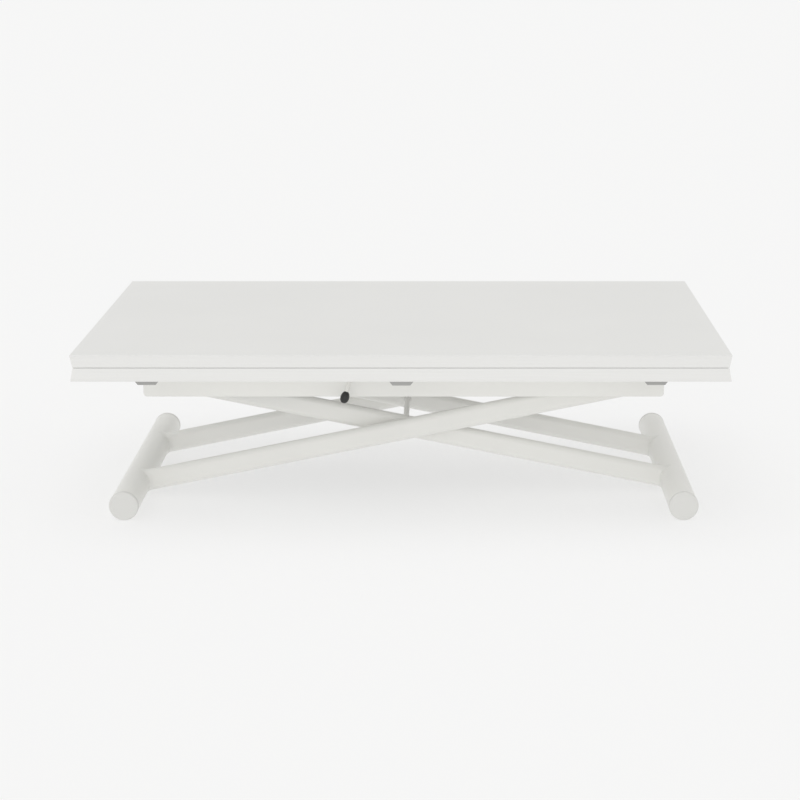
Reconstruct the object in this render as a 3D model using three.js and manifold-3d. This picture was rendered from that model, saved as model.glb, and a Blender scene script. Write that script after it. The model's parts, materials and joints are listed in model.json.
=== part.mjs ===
// A low white table whose top lifts on a gas spring and opens out to twice its depth.
// Two pairs of oval steel legs cross like scissors between two round foot bars and a
// steel frame. The top is two boards hinged like a book, on rails that run forwards.
//
// Millimetres, +Z up, origin on the floor under the table's centre, front towards -Y.

import * as THREE from 'three';
import { mergeVertices } from 'three/addons/utils/BufferGeometryUtils.js';
import Module from 'manifold-3d';

const wasm = await Module();
wasm.setup();

// ---------------------------------------------------------------- driving dimensions

const TOP_LENGTH = 1100;
const TOP_DEPTH = 700;
const TOP_HEIGHT = 305; // with the legs folded right down
const LEAF_THICKNESS = 22;
const LEAF_GAP = 1;
const LEAF_BEVEL = 4; // each leaf narrows by this much towards the seam
const GAP = 0.3; // clearance between pieces that touch

const LEGS_X = 2; // the legs' crossing, which isn't quite under the top's middle
const FOOT_X = 482; // from the crossing to each foot bar's axis
const FOOT_LENGTH = 573;
const FOOT_RADIUS = 25;
const FOOT_WALL = 2.5;
const ROLLER_RADIUS = 25.4;
const ROLLER_LENGTH = 8;
const FOOT_BUSH_LENGTH = 20;
const FOOT_BUSH_INSET = 20;

const LEG_LOWER = 491.9; // foot axis to centre pivot, along the leg
const UPPER_PIVOT_X = 430; // from the crossing
const LEG_WIDTH = 20;
const LEG_HEIGHT = 38;
const LEG_WALL = 2;
const OUTER_LEG_Y = 132;
const INNER_LEG_Y = 106;
const AXLE_RADIUS = 6;
const CENTRE_AXLE_RADIUS = 5;
const CENTRE_BUSH_RADIUS = 7;

const FRAME_LENGTH = 919;
const FRAME_DEPTH = 300;
const FRAME_BOTTOM = 187;
const FRAME_TOP = 246;
const FRAME_PLATE = 6;
const FRAME_CORNER = 6;
const END_PLATE_INSIDE = 453.5;
const END_PLATE = 4;
const CROSSBAR_BOTTOM = 238;
const CROSSBAR_HALF = 20;
const BEARER_LEFT = 197;
const BEARER_RIGHT = 227;

const BLOCK_INSIDE = 117.5; // the inner legs' slide blocks
const BLOCK_OUTSIDE = 140;
const BLOCK_HALF_LENGTH = 18;
const BLOCK_HALF_HEIGHT = 13.5;
const TRACK_LIP = 117;
const TRACK_WALL = 3;
const TRACK_LEFT = -451;
const TRACK_RIGHT = -186;

const SPRING_LEFT = -188; // the gas spring's cylinder, along X
const SPRING_RIGHT = 80;
const SPRING_RADIUS = 14;
const SPRING_BORE = 12;
const SPRING_END = 6;
const STUD_LENGTH = 26;
const ROD_RADIUS = 5;
const ROD_CLEARANCE = 0.5;
const EYE_RADIUS = 12;
const EYE_HALF = 8;
const PISTON_START = -176;
const PISTON_LENGTH = 12;
const PISTON_CLEARANCE = 0.4;
const BEAM_LEFT = 84;
const BEAM_RIGHT = 90;
const BEAM_HALF_HEIGHT = 16;
const CLAMP_HALF = 10;
const CLAMP_WALL = 4;
const HEAD_LEFT = BEAM_RIGHT + 4;
const HEAD_LENGTH = 20;
const HEAD_HALF = 12;
const HEAD_BORE_DEPTH = 14;

const LEVER_X = -84.5;
const LEVER_Z = 252;
const LEVER_ROD_RADIUS = 4;
const LEVER_LEAN = THREE.MathUtils.degToRad(17);
const LEVER_FRONT_Y = -175;
const LEVER_BEND = 12;
const KNOB_CENTRE = 62.5; // down the arm from the lever's axis
const KNOB_LENGTH = 22;
const KNOB_RADIUS = 7.8;
const KNOB_SOCKET = 8;
const CRANK_Y = -101;
const CRANK_HALF = 2;
const CRANK_WIDTH = 6;
const CRANK_DROP = 24;
const LEVER_SPRING_RADIUS = 6.2;
const LEVER_SPRING_WIRE = 0.7;
const LEVER_SPRING_TURNS = 4;
const BEARING_REAR = -118;
const BEARING_HALF = 15;
const CABLE_RADIUS = 2.5;
const ANCHOR_LEFT = -73;
const ANCHOR_RIGHT = -57;

const SLIDE_TRAVEL = 350;
const SLIDE_RAIL_X = 427.5;
const RAIL_BOTTOM = 247.8;
const RAIL_LIP_TOP = 250;
const RAIL_SLOT_TOP = 255;
const CENTRE_RAIL_FRONT = -325;
const SIDE_RAIL_FRONT = -321;
const RAIL_REAR = 330;
const RAIL_BOTTOM_HALF = 15;
const RAIL_TOP_HALF = 24.5;
const SLOT_NECK_HALF = 4.8;
const SLOT_HEAD_HALF = 9;
const SHOE_BOTTOM = 244;
const SHOE_FRONT = -143;
const SHOE_REAR = -30;
const SHOE_FOOT_HALF = 12;
const SHOE_CLEARANCE = 0.5;

const HINGE_PLACES = [['left', -380], ['centre', 0], ['right', 380]];
const HINGE_RADIUS = 3;
const HINGE_HALF_WIDTH = 30;
const HINGE_PLATE = 1.7;
const HINGE_REACH = 25;
const KNUCKLE_HALF = 10;
const PIN_RADIUS = 1.5;

// ------------------------------------------------------------------ worked-out places

const FOOT_Z = ROLLER_RADIUS;
const FOOT_HALF = FOOT_LENGTH / 2 - ROLLER_LENGTH;
const LEG_ANGLE = Math.acos(FOOT_X / LEG_LOWER);
const LEG_UPPER = UPPER_PIVOT_X / Math.cos(LEG_ANGLE);
const UPPER_PIVOT_Z = FOOT_Z + (LEG_LOWER + LEG_UPPER) * Math.sin(LEG_ANGLE);

const HINGE_Y = TOP_DEPTH / 2 - HINGE_RADIUS;
const HINGE_Z = TOP_HEIGHT - LEAF_THICKNESS - LEAF_GAP / 2;
const LOWER_LEAF_BOTTOM = HINGE_Z - LEAF_GAP / 2 - LEAF_THICKNESS;

const FRAME_INSIDE = FRAME_DEPTH / 2 - FRAME_PLATE - GAP;
const CABLE_Z = LEVER_Z - CRANK_DROP;

const ENDS = [['front', -1], ['rear', 1]];
const SIDES = [['left', -1], ['right', 1]];
const RAIL_PLACES = [
  ['left', -SLIDE_RAIL_X, SIDE_RAIL_FRONT],
  ['centre', 0, CENTRE_RAIL_FRONT],
  ['right', SLIDE_RAIL_X, SIDE_RAIL_FRONT],
];

// ------------------------------------------------------------------------- materials

const finish = (color, roughness, metalness = 0) =>
  new THREE.MeshStandardMaterial({ color, roughness, metalness });

const whiteBoard = finish(0xf1f1ee, 0.45);
const whitePaint = finish(0xeeede8, 0.5);
const whiteNylon = finish(0xf2f2f0, 0.55);
const greyPlastic = finish(0x9c9da0, 0.6);
const blackPlastic = finish(0x232325, 0.35);
const blackPaint = finish(0x2b2c2e, 0.5);
const brightSteel = finish(0xc4c6c8, 0.28, 1);
const zincSteel = finish(0xb4b7b8, 0.4, 1);

// --------------------------------------------------------------------- shape helpers

// A flat shape drawn in X and Z, given a thickness along Y.
function alongY(shape, from, to, curveSegments = 9) {
  const geometry = new THREE.ExtrudeGeometry(shape, {
    depth: to - from, bevelEnabled: false, curveSegments,
  });
  return geometry.rotateX(Math.PI / 2).translate(0, to, 0);
}

// A flat shape drawn in Y and Z, given a thickness along X.
function alongX(shape, from, to, curveSegments = 9) {
  const geometry = new THREE.ExtrudeGeometry(shape, {
    depth: to - from, bevelEnabled: false, curveSegments,
  });
  const turn = new THREE.Matrix4().makeBasis(
    new THREE.Vector3(0, 1, 0), new THREE.Vector3(0, 0, 1), new THREE.Vector3(1, 0, 0));
  return geometry.applyMatrix4(turn).translate(from, 0, 0);
}

function rectangle(left, right, bottom, top) {
  const shape = new THREE.Shape();
  shape.moveTo(left, bottom);
  shape.lineTo(right, bottom);
  shape.lineTo(right, top);
  shape.lineTo(left, top);
  shape.closePath();
  return shape;
}

function disc(radius, across = 0, up = 0) {
  const shape = new THREE.Shape();
  shape.absarc(across, up, radius, 0, 2 * Math.PI);
  return shape;
}

function ring(outer, inner, across = 0, up = 0) {
  const shape = disc(outer, across, up);
  shape.holes.push(disc(inner, across, up));
  return shape;
}

// An upright slot shape: straight sides and half-round ends.
function oval(width, height) {
  const radius = width / 2;
  const straight = height / 2 - radius;
  const shape = new THREE.Shape();
  shape.absarc(0, straight, radius, 0, Math.PI);
  shape.absarc(0, -straight, radius, Math.PI, 2 * Math.PI);
  shape.closePath();
  return shape;
}

function box(x0, x1, y0, y1, z0, z1) {
  const geometry = new THREE.BoxGeometry(x1 - x0, y1 - y0, z1 - z0);
  return geometry.translate((x0 + x1) / 2, (y0 + y1) / 2, (z0 + z1) / 2);
}

function solid(geometry) {
  const bare = geometry.clone();
  bare.deleteAttribute('normal');
  bare.deleteAttribute('uv');
  const merged = mergeVertices(bare, 1e-4);
  return new wasm.Manifold(new wasm.Mesh({
    numProp: 3,
    vertProperties: merged.attributes.position.array,
    triVerts: Uint32Array.from(merged.index.array),
  }));
}

function combine(start, steps) {
  let result = solid(start);
  for (const [operation, geometry] of steps) {
    result = result[operation](solid(geometry));
  }
  const mesh = result.getMesh();
  const geometry = new THREE.BufferGeometry();
  geometry.setAttribute('position', new THREE.BufferAttribute(mesh.vertProperties, 3));
  geometry.setIndex(new THREE.BufferAttribute(mesh.triVerts, 1));
  geometry.computeVertexNormals();
  return geometry;
}

function piece(parent, name, geometry, material) {
  const mesh = new THREE.Mesh(geometry, material);
  mesh.name = name;
  parent.add(mesh);
  return mesh;
}

// -------------------------------------------------------------------------- foot bars

// A foot is a round tube with a roller in each end, both rollers fixed to one axle.
// The rollers stand just proud of the tube, so the foot rolls as the table rises.
function rollerProfile() {
  const hub = FOOT_RADIUS - FOOT_WALL - GAP;
  const edge = 2;
  const hubLength = 14;
  const bore = AXLE_RADIUS + GAP;
  return [
    new THREE.Vector2(0, ROLLER_LENGTH),
    new THREE.Vector2(ROLLER_RADIUS - edge, ROLLER_LENGTH),
    new THREE.Vector2(ROLLER_RADIUS, ROLLER_LENGTH - edge),
    new THREE.Vector2(ROLLER_RADIUS, GAP),
    new THREE.Vector2(hub, GAP),
    new THREE.Vector2(hub, -hubLength),
    new THREE.Vector2(bore, -hubLength),
    new THREE.Vector2(bore, ROLLER_LENGTH / 2),
    new THREE.Vector2(0, ROLLER_LENGTH / 2),
  ].reverse();
}

function rollers(parent, side) {
  for (const [end, sign] of ENDS) {
    const geometry = new THREE.LatheGeometry(rollerProfile(), 36);
    if (sign < 0) geometry.rotateX(Math.PI);
    geometry.translate(0, sign * FOOT_HALF, 0);
    piece(parent, `${side}_roller_${end}`, geometry, whiteNylon);
  }
  const half = FOOT_HALF + ROLLER_LENGTH / 2 - GAP;
  piece(parent, `${side}_roller_axle`, alongY(disc(AXLE_RADIUS), -half, half), brightSteel);
}

function footBar(parent, side) {
  const bore = FOOT_RADIUS - FOOT_WALL;
  const tube = alongY(ring(FOOT_RADIUS, bore), -FOOT_HALF, FOOT_HALF, 20);
  piece(parent, `${side}_foot_bar`, tube, whitePaint);
  const far = FOOT_HALF - FOOT_BUSH_INSET;
  for (const [end, sign] of ENDS) {
    const bush = alongY(ring(bore - GAP, AXLE_RADIUS + GAP), far - FOOT_BUSH_LENGTH, far);
    if (sign < 0) bush.rotateZ(Math.PI);
    piece(parent, `${side}_foot_bush_${end}`, bush, blackPlastic);
  }
}

// ------------------------------------------------------------------------------ legs

// One oval tube from the foot's axis along +X, cupped over the foot bar at one end and
// rounded about its upper pivot at the other, with a solid plug round that pivot.
function legBody() {
  const length = LEG_LOWER + LEG_UPPER;
  const half = LEG_HEIGHT / 2;
  const plug = 16;
  const side = new THREE.Shape();
  side.moveTo(0, -half);
  side.lineTo(length, -half);
  side.absarc(length, 0, half, -Math.PI / 2, Math.PI / 2);
  side.lineTo(0, half);
  side.closePath();
  const inside = oval(LEG_WIDTH - 2 * LEG_WALL, LEG_HEIGHT - 2 * LEG_WALL);
  return [alongX(oval(LEG_WIDTH, LEG_HEIGHT), 0, length + LEG_HEIGHT, 7), [
    ['intersect', alongY(side, -LEG_WIDTH, LEG_WIDTH)],
    ['subtract', alongX(inside, -1, length - plug, 5)],
    ['subtract', alongY(disc(FOOT_RADIUS + GAP), -LEG_WIDTH, LEG_WIDTH, 20)],
    ['subtract', alongY(disc(AXLE_RADIUS + GAP, length), -LEG_WIDTH, LEG_WIDTH)],
  ]];
}

// The outer legs hold the centre axle's ends in blind holes, so their faces stay plain.
function outerLeg(inward) {
  const [start, steps] = legBody();
  const open = inward * LEG_WIDTH;
  const blind = -inward * (LEG_WIDTH / 2 - LEG_WALL - GAP);
  const hole = disc(CENTRE_AXLE_RADIUS + GAP, LEG_LOWER);
  const cut = alongY(hole, Math.min(open, blind), Math.max(open, blind));
  return combine(start, [...steps, ['subtract', cut]]);
}

function innerLeg() {
  const [start, steps] = legBody();
  const hole = disc(CENTRE_BUSH_RADIUS + GAP, LEG_LOWER);
  return combine(start, [...steps, ['subtract', alongY(hole, -LEG_WIDTH, LEG_WIDTH)]]);
}

function outerLegs() {
  const frame = new THREE.Group();
  frame.position.set(LEGS_X - FOOT_X, 0, FOOT_Z);
  frame.rotation.y = -LEG_ANGLE;
  footBar(frame, 'left');
  for (const [end, sign] of ENDS) {
    piece(frame, `outer_leg_${end}`, outerLeg(-sign), whitePaint).position.y = sign * OUTER_LEG_Y;
  }
  const half = OUTER_LEG_Y + LEG_WIDTH / 2 - LEG_WALL - 2 * GAP;
  const axle = alongY(disc(CENTRE_AXLE_RADIUS, LEG_LOWER), -half, half);
  piece(frame, 'centre_axle', axle, whitePaint);
  return frame;
}

function innerLegs() {
  const frame = new THREE.Group();
  frame.position.set(LEGS_X + FOOT_X, 0, FOOT_Z);
  frame.rotation.y = Math.PI + LEG_ANGLE;
  footBar(frame, 'right');
  for (const [end, sign] of ENDS) {
    piece(frame, `inner_leg_${end}`, innerLeg(), whitePaint).position.y = sign * INNER_LEG_Y;
    const bush = ring(CENTRE_BUSH_RADIUS, CENTRE_AXLE_RADIUS + GAP, LEG_LOWER);
    const geometry = alongY(bush, -LEG_WIDTH / 2, LEG_WIDTH / 2);
    piece(frame, `centre_bush_${end}`, geometry, whiteNylon).position.y = sign * INNER_LEG_Y;
  }
  const half = BLOCK_OUTSIDE - 2;
  const axle = alongY(disc(AXLE_RADIUS, LEG_LOWER + LEG_UPPER), -half, half);
  piece(frame, 'inner_upper_axle', axle, brightSteel);
  return frame;
}

// --------------------------------------------------- sliding upper end of the inner legs

// Two nylon blocks run in the tracks and the gas spring's rod pulls on the same axle.
function carriage() {
  const group = new THREE.Group();
  group.position.set(LEGS_X - UPPER_PIVOT_X, 0, UPPER_PIVOT_Z);
  for (const [end, sign] of ENDS) {
    const shape = rectangle(
      -BLOCK_HALF_LENGTH, BLOCK_HALF_LENGTH, -BLOCK_HALF_HEIGHT, BLOCK_HALF_HEIGHT);
    shape.holes.push(disc(AXLE_RADIUS + GAP));
    const block = alongY(shape, BLOCK_INSIDE, BLOCK_OUTSIDE);
    if (sign < 0) block.rotateZ(Math.PI);
    piece(group, `slide_block_${end}`, block, whiteNylon);
  }
  const start = PISTON_START + UPPER_PIVOT_X - LEGS_X;
  const rod = combine(alongY(disc(EYE_RADIUS), -EYE_HALF, EYE_HALF), [
    ['add', alongX(disc(ROD_RADIUS), EYE_RADIUS - 3, start + 1, 12)],
    ['add', alongX(disc(SPRING_BORE - PISTON_CLEARANCE), start, start + PISTON_LENGTH)],
    ['subtract', alongY(disc(AXLE_RADIUS + GAP), -2 * EYE_HALF, 2 * EYE_HALF)],
  ]);
  piece(group, 'gas_spring_rod', rod, brightSteel);
  return group;
}

// ------------------------------------------------------------------------- gas spring

// A tube closed at the right by its end and a threaded stud, and open at the left only
// where the rod goes in.
function springCylinder() {
  const length = SPRING_RIGHT - SPRING_LEFT;
  const rodHole = ROD_RADIUS + ROD_CLEARANCE;
  const chamfer = 1.5;
  const profile = [
    [0, length - SPRING_END], [SPRING_BORE, length - SPRING_END],
    [SPRING_BORE, SPRING_END], [rodHole, SPRING_END],
    [rodHole, 0], [SPRING_RADIUS - chamfer, 0], [SPRING_RADIUS, chamfer],
    [SPRING_RADIUS, length], [ROD_RADIUS, length],
    [ROD_RADIUS, length + STUD_LENGTH], [0, length + STUD_LENGTH],
  ];
  const points = profile.map(([radius, along]) => new THREE.Vector2(radius, along));
  return new THREE.LatheGeometry(points, 24)
    .rotateZ(-Math.PI / 2).translate(SPRING_LEFT, 0, UPPER_PIVOT_Z);
}

function springFixings(group) {
  piece(group, 'gas_spring_cylinder', springCylinder(), blackPaint);
  const centre = UPPER_PIVOT_Z;

  const beam = rectangle(-FRAME_INSIDE, FRAME_INSIDE,
    centre - BEAM_HALF_HEIGHT, centre + BEAM_HALF_HEIGHT);
  beam.holes.push(disc(ROD_RADIUS + GAP, 0, centre));
  piece(group, 'spring_beam', alongX(beam, BEAM_LEFT, BEAM_RIGHT), whitePaint);

  const band = disc(SPRING_RADIUS + CLAMP_WALL, 0, centre);
  const bore = disc(SPRING_RADIUS + GAP, 0, centre);
  const hanger = 8;
  const clamp = combine(alongX(band, -CLAMP_HALF, CLAMP_HALF, 20), [
    ['add', box(-CLAMP_HALF, CLAMP_HALF, -hanger, hanger, centre, CROSSBAR_BOTTOM - GAP)],
    ['subtract', alongX(bore, -2 * CLAMP_HALF, 2 * CLAMP_HALF, 20)],
  ]);
  piece(group, 'spring_clamp', clamp, greyPlastic);

  const stud = disc(ROD_RADIUS + GAP, 0, centre);
  const block = box(HEAD_LEFT, HEAD_LEFT + HEAD_LENGTH, -HEAD_HALF, HEAD_HALF,
    centre - HEAD_HALF, centre + HEAD_HALF);
  const head = combine(block, [
    ['subtract', alongX(stud, HEAD_LEFT - 1, HEAD_LEFT + HEAD_BORE_DEPTH)],
  ]);
  piece(group, 'release_head', head, blackPlastic);
}

// ---------------------------------------------------------------------- release lever

const downTheArm = (distance) =>
  new THREE.Vector3(-Math.sin(LEVER_LEAN), 0, -Math.cos(LEVER_LEAN)).multiplyScalar(distance);

// A bent rod: level through its bearing, over the front rail, then down to the knob.
function leverRod() {
  const inKnob = KNOB_SOCKET - 1;
  const corner = new THREE.Vector3(0, LEVER_FRONT_Y, 0);
  const before = new THREE.Vector3(0, LEVER_FRONT_Y + LEVER_BEND, 0);
  const after = downTheArm(LEVER_BEND).add(corner);
  const end = downTheArm(KNOB_CENTRE - KNOB_LENGTH / 2 + inKnob).add(corner);
  const path = new THREE.CurvePath();
  path.add(new THREE.LineCurve3(new THREE.Vector3(0, CRANK_Y + 4, 0), before));
  path.add(new THREE.QuadraticBezierCurve3(before, corner, after));
  path.add(new THREE.LineCurve3(after, end));
  return new THREE.ExtrudeGeometry(disc(LEVER_ROD_RADIUS), {
    steps: 24, curveSegments: 6, bevelEnabled: false, extrudePath: path,
  });
}

// An egg with a blind socket for the rod in its upper end.
function knob() {
  const socket = LEVER_ROD_RADIUS + GAP;
  const half = KNOB_LENGTH / 2;
  const points = [new THREE.Vector2(0, -half)];
  const startAngle = Math.asin(socket / KNOB_RADIUS);
  const steps = 14;
  for (let i = 1; i <= steps; i += 1) {
    const angle = Math.PI - ((Math.PI - startAngle) * i) / steps;
    const egg = 1 + 0.06 * Math.cos(angle);
    points.push(new THREE.Vector2(KNOB_RADIUS * Math.sin(angle) * egg, half * Math.cos(angle)));
  }
  points[points.length - 1].x = socket;
  points.push(new THREE.Vector2(socket, half - KNOB_SOCKET));
  points.push(new THREE.Vector2(0, half - KNOB_SOCKET));
  const place = downTheArm(KNOB_CENTRE);
  return new THREE.LatheGeometry(points, 20).rotateX(Math.PI / 2)
    .rotateY(LEVER_LEAN).translate(place.x, LEVER_FRONT_Y, place.z);
}

class Helix extends THREE.Curve {
  constructor(radius, turns, from, to) {
    super();
    Object.assign(this, { radius, turns, from, to });
  }

  getPoint(t, target = new THREE.Vector3()) {
    const angle = 2 * Math.PI * this.turns * t;
    const along = this.from + (this.to - this.from) * t;
    return target.set(this.radius * Math.cos(angle), along, this.radius * Math.sin(angle));
  }
}

function releaseLever() {
  const group = new THREE.Group();
  group.position.set(LEVER_X, 0, LEVER_Z);
  piece(group, 'release_lever', leverRod(), whitePaint);
  piece(group, 'lever_knob', knob(), blackPlastic);

  const crankShape = new THREE.Shape();
  crankShape.absarc(0, 0, CRANK_WIDTH, 0, Math.PI);
  crankShape.absarc(0, -CRANK_DROP, CRANK_WIDTH, Math.PI, 2 * Math.PI);
  crankShape.closePath();
  crankShape.holes.push(disc(LEVER_ROD_RADIUS + GAP));
  const crank = alongY(crankShape, CRANK_Y - CRANK_HALF, CRANK_Y + CRANK_HALF);
  piece(group, 'lever_crank', crank, zincSteel);

  const clear = 2 * LEVER_SPRING_WIRE;
  const wire = new Helix(LEVER_SPRING_RADIUS, LEVER_SPRING_TURNS,
    BEARING_REAR + clear, CRANK_Y - CRANK_HALF - clear);
  const spring = new THREE.ExtrudeGeometry(disc(LEVER_SPRING_WIRE), {
    steps: 48, curveSegments: 3, bevelEnabled: false, extrudePath: wire,
  });
  piece(group, 'lever_spring', spring, brightSteel);
  return group;
}

// The lever's bearing block, with an arm that holds the end of the cable's sheath.
function leverBearing() {
  const front = -FRAME_INSIDE;
  const bottom = CABLE_Z + 4;
  const top = LEVER_Z + 6.5;
  const armHalf = 6;
  const armRear = CRANK_Y + 7;
  const block = box(LEVER_X - BEARING_HALF, LEVER_X + BEARING_HALF, front, BEARING_REAR, bottom, top);
  const arm = box(ANCHOR_LEFT, ANCHOR_RIGHT, front, armRear, CABLE_Z - armHalf, CABLE_Z + armHalf);
  const shaft = disc(LEVER_ROD_RADIUS + GAP, LEVER_X, LEVER_Z);
  const sheath = disc(CABLE_RADIUS + GAP, CRANK_Y, CABLE_Z);
  return combine(block, [
    ['add', arm],
    ['subtract', alongY(shaft, front - 1, BEARING_REAR + 1)],
    ['subtract', alongX(sheath, ANCHOR_LEFT - 1, ANCHOR_RIGHT + 1)],
  ]);
}

// The cable's sheath goes over the spring beam and down into the release head.
function releaseCable() {
  const end = HEAD_LEFT + HEAD_LENGTH / 2;
  const route = new THREE.CatmullRomCurve3([
    new THREE.Vector3(ANCHOR_LEFT + 6, CRANK_Y, CABLE_Z),
    new THREE.Vector3(ANCHOR_RIGHT + 8, CRANK_Y, CABLE_Z),
    new THREE.Vector3(-10, -100, 231),
    new THREE.Vector3(50, -90, 234),
    new THREE.Vector3(BEAM_RIGHT, -66, 233),
    new THREE.Vector3(end, -40, 216),
    new THREE.Vector3(end, -HEAD_HALF - 1, UPPER_PIVOT_Z),
  ]);
  return new THREE.ExtrudeGeometry(disc(CABLE_RADIUS), {
    steps: 32, curveSegments: 4, bevelEnabled: false, extrudePath: route,
  });
}

// --------------------------------------------------------------------- lifting frame

// A steel plate on edge with its two lower corners rounded.
function longRail() {
  const half = FRAME_LENGTH / 2;
  const across = half - FRAME_CORNER;
  const up = FRAME_BOTTOM + FRAME_CORNER;
  const shape = new THREE.Shape();
  shape.moveTo(-half, FRAME_TOP);
  shape.lineTo(-half, up);
  shape.absarc(-across, up, FRAME_CORNER, Math.PI, 1.5 * Math.PI);
  shape.absarc(across, up, FRAME_CORNER, 1.5 * Math.PI, 2 * Math.PI);
  shape.lineTo(half, FRAME_TOP);
  shape.closePath();
  return alongY(shape, -FRAME_PLATE / 2, FRAME_PLATE / 2, 8);
}

// A channel that opens towards the middle of the table, drawn for the rear rail.
function track() {
  const web = FRAME_INSIDE - TRACK_WALL;
  const inner = BLOCK_HALF_HEIGHT + GAP;
  const outer = inner + TRACK_WALL;
  const shape = new THREE.Shape();
  shape.moveTo(TRACK_LIP, -outer);
  shape.lineTo(FRAME_INSIDE, -outer);
  shape.lineTo(FRAME_INSIDE, outer);
  shape.lineTo(TRACK_LIP, outer);
  shape.lineTo(TRACK_LIP, inner);
  shape.lineTo(web, inner);
  shape.lineTo(web, -inner);
  shape.lineTo(TRACK_LIP, -inner);
  shape.closePath();
  return alongX(shape, TRACK_LEFT, TRACK_RIGHT);
}

// A nylon tee that the slide rail hangs over: foot, neck and head.
function slideShoe() {
  const neck = SLOT_NECK_HALF - SHOE_CLEARANCE;
  const head = SLOT_HEAD_HALF - SHOE_CLEARANCE;
  const footTop = RAIL_BOTTOM - SHOE_CLEARANCE;
  const headBottom = RAIL_LIP_TOP + SHOE_CLEARANCE;
  const headTop = RAIL_SLOT_TOP - SHOE_CLEARANCE;
  const outline = [
    [SHOE_FOOT_HALF, SHOE_BOTTOM], [SHOE_FOOT_HALF, footTop], [neck, footTop],
    [neck, headBottom], [head, headBottom], [head, headTop],
  ];
  const shape = new THREE.Shape();
  shape.moveTo(...outline[0]);
  outline.slice(1).forEach(([across, up]) => shape.lineTo(across, up));
  outline.reverse().forEach(([across, up]) => shape.lineTo(-across, up));
  shape.closePath();
  return alongY(shape, SHOE_FRONT, SHOE_REAR);
}

function topFrame() {
  const frame = new THREE.Group();
  for (const [end, sign] of ENDS) {
    const rail = piece(frame, `frame_rail_${end}`, longRail(), whitePaint);
    rail.position.y = sign * (FRAME_DEPTH - FRAME_PLATE) / 2;
    const channel = piece(frame, `track_${end}`, track(), zincSteel);
    channel.position.z = UPPER_PIVOT_Z;
    if (sign < 0) channel.geometry.applyMatrix4(new THREE.Matrix4().makeRotationZ(Math.PI))
      .translate(TRACK_LEFT + TRACK_RIGHT, 0, 0);
  }
  for (const [side, sign] of SIDES) {
    const plate = box(END_PLATE_INSIDE, END_PLATE_INSIDE + END_PLATE, -FRAME_INSIDE, FRAME_INSIDE,
      FRAME_BOTTOM + FRAME_CORNER, FRAME_TOP);
    if (sign < 0) plate.rotateZ(Math.PI);
    piece(frame, `frame_end_${side}`, plate, whitePaint);
    const bearer = box(BEARER_LEFT, BEARER_RIGHT, -FRAME_DEPTH / 2, FRAME_DEPTH / 2,
      FRAME_TOP + GAP, LOWER_LEAF_BOTTOM - GAP);
    if (sign < 0) bearer.rotateZ(Math.PI);
    piece(frame, `top_bearer_${side}`, bearer, greyPlastic);
  }
  for (const [place, x] of RAIL_PLACES) {
    const bar = box(-CROSSBAR_HALF, CROSSBAR_HALF, -FRAME_INSIDE, FRAME_INSIDE,
      CROSSBAR_BOTTOM, SHOE_BOTTOM - GAP);
    piece(frame, `crossbar_${place}`, bar, whitePaint).position.x = x;
    piece(frame, `slide_shoe_${place}`, slideShoe(), whiteNylon).position.x = x;
  }
  const axle = piece(frame, 'upper_axle',
    alongY(disc(AXLE_RADIUS), -FRAME_INSIDE, FRAME_INSIDE), brightSteel);
  axle.position.set(LEGS_X + UPPER_PIVOT_X, 0, UPPER_PIVOT_Z);
  springFixings(frame);
  piece(frame, 'lever_bearing', leverBearing(), greyPlastic);
  piece(frame, 'release_cable', releaseCable(), blackPlastic);
  return frame;
}

// -------------------------------------------------------------------------- tabletop

const hingeLine = (radius, from, to) =>
  alongX(disc(radius, HINGE_Y, HINGE_Z), from, to, 12);

// A board that is full size on its outer face and bevelled in on its front and ends.
// `up` is 1 for the upper leaf and -1 for the lower one.
function leaf(up) {
  const inner = HINGE_Z + up * LEAF_GAP / 2;
  const outer = inner + up * LEAF_THICKNESS;
  const half = TOP_LENGTH / 2;
  const front = -TOP_DEPTH / 2;
  const rear = HINGE_Y - GAP;
  const low = Math.min(inner, outer);
  const high = Math.max(inner, outer);
  const inset = (z) => (z === inner ? LEAF_BEVEL : 0);
  const ends = new THREE.Shape();
  ends.moveTo(-half + inset(low), low);
  ends.lineTo(half - inset(low), low);
  ends.lineTo(half - inset(high), high);
  ends.lineTo(-half + inset(high), high);
  ends.closePath();
  const sides = new THREE.Shape();
  sides.moveTo(front + inset(low), low);
  sides.lineTo(rear, low);
  sides.lineTo(rear, high);
  sides.lineTo(front + inset(high), high);
  sides.closePath();
  const cuts = [['intersect', alongX(sides, -half, half)]];
  for (const [, x] of HINGE_PLACES) {
    const width = HINGE_HALF_WIDTH + GAP;
    const floor = inner + up * (HINGE_PLATE + 2 * GAP);
    const past = inner - up;
    cuts.push(['subtract', hingeLine(HINGE_RADIUS + GAP, x - width, x + width)]);
    cuts.push(['subtract', box(x - width, x + width, HINGE_Y - HINGE_REACH - GAP, HINGE_Y + 1,
      Math.min(floor, past), Math.max(floor, past))]);
  }
  return combine(alongY(ends, front, rear), cuts);
}

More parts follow.
